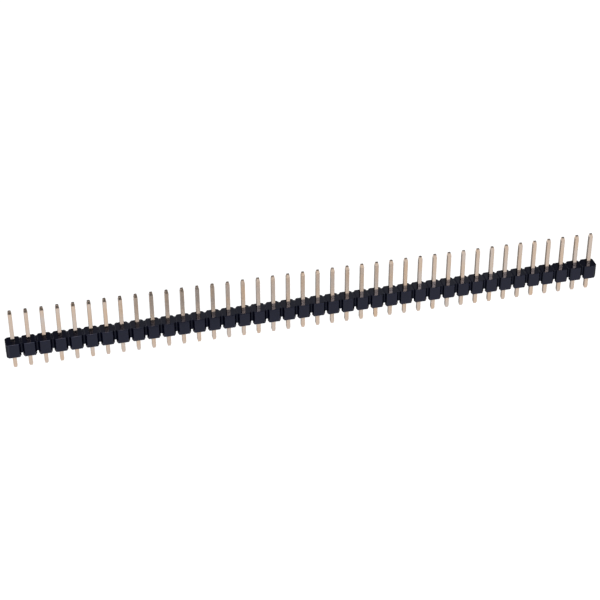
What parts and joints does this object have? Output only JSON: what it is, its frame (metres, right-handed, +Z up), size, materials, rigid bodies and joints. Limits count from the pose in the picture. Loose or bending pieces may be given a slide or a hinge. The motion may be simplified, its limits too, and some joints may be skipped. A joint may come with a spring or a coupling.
{
  "type": "pin header strip",
  "caption": "Straight single-row break-away pin header: square pins through a black moulded strip of joined octagonal cells, with solder tails below and mating pins above.",
  "frame": {"origin": "middle of the row of solder tails, in the plane of the insulator's underside, where it meets the board", "axes": "+X along the strip, +Z up the mating ends of the pins and away from the board, +Y across the strip"},
  "size_m": [0.1016, 0.0026, 0.0109],
  "materials": {
    "insulator_plastic": "moulded glass-filled plastic, semi-gloss black",
    "pin_plating": "drawn square wire with pale thin gold plating, satin"
  },
  "bodies": {
    "root": {"insulator": "insulator_plastic", "pin_01": "pin_plating", "pin_02": "pin_plating", "pin_03": "pin_plating", "pin_04": "pin_plating", "pin_05": "pin_plating", "pin_06": "pin_plating", "pin_07": "pin_plating", "pin_08": "pin_plating", "pin_09": "pin_plating", "pin_10": "pin_plating", "pin_11": "pin_plating", "pin_12": "pin_plating", "pin_13": "pin_plating", "pin_14": "pin_plating", "pin_15": "pin_plating", "pin_16": "pin_plating", "pin_17": "pin_plating", "pin_18": "pin_plating", "pin_19": "pin_plating", "pin_20": "pin_plating", "pin_21": "pin_plating", "pin_22": "pin_plating", "pin_23": "pin_plating", "pin_24": "pin_plating", "pin_25": "pin_plating", "pin_26": "pin_plating", "pin_27": "pin_plating", "pin_28": "pin_plating", "pin_29": "pin_plating", "pin_30": "pin_plating", "pin_31": "pin_plating", "pin_32": "pin_plating", "pin_33": "pin_plating", "pin_34": "pin_plating", "pin_35": "pin_plating", "pin_36": "pin_plating", "pin_37": "pin_plating", "pin_38": "pin_plating", "pin_39": "pin_plating", "pin_40": "pin_plating"}
  },
  "joints": []
}
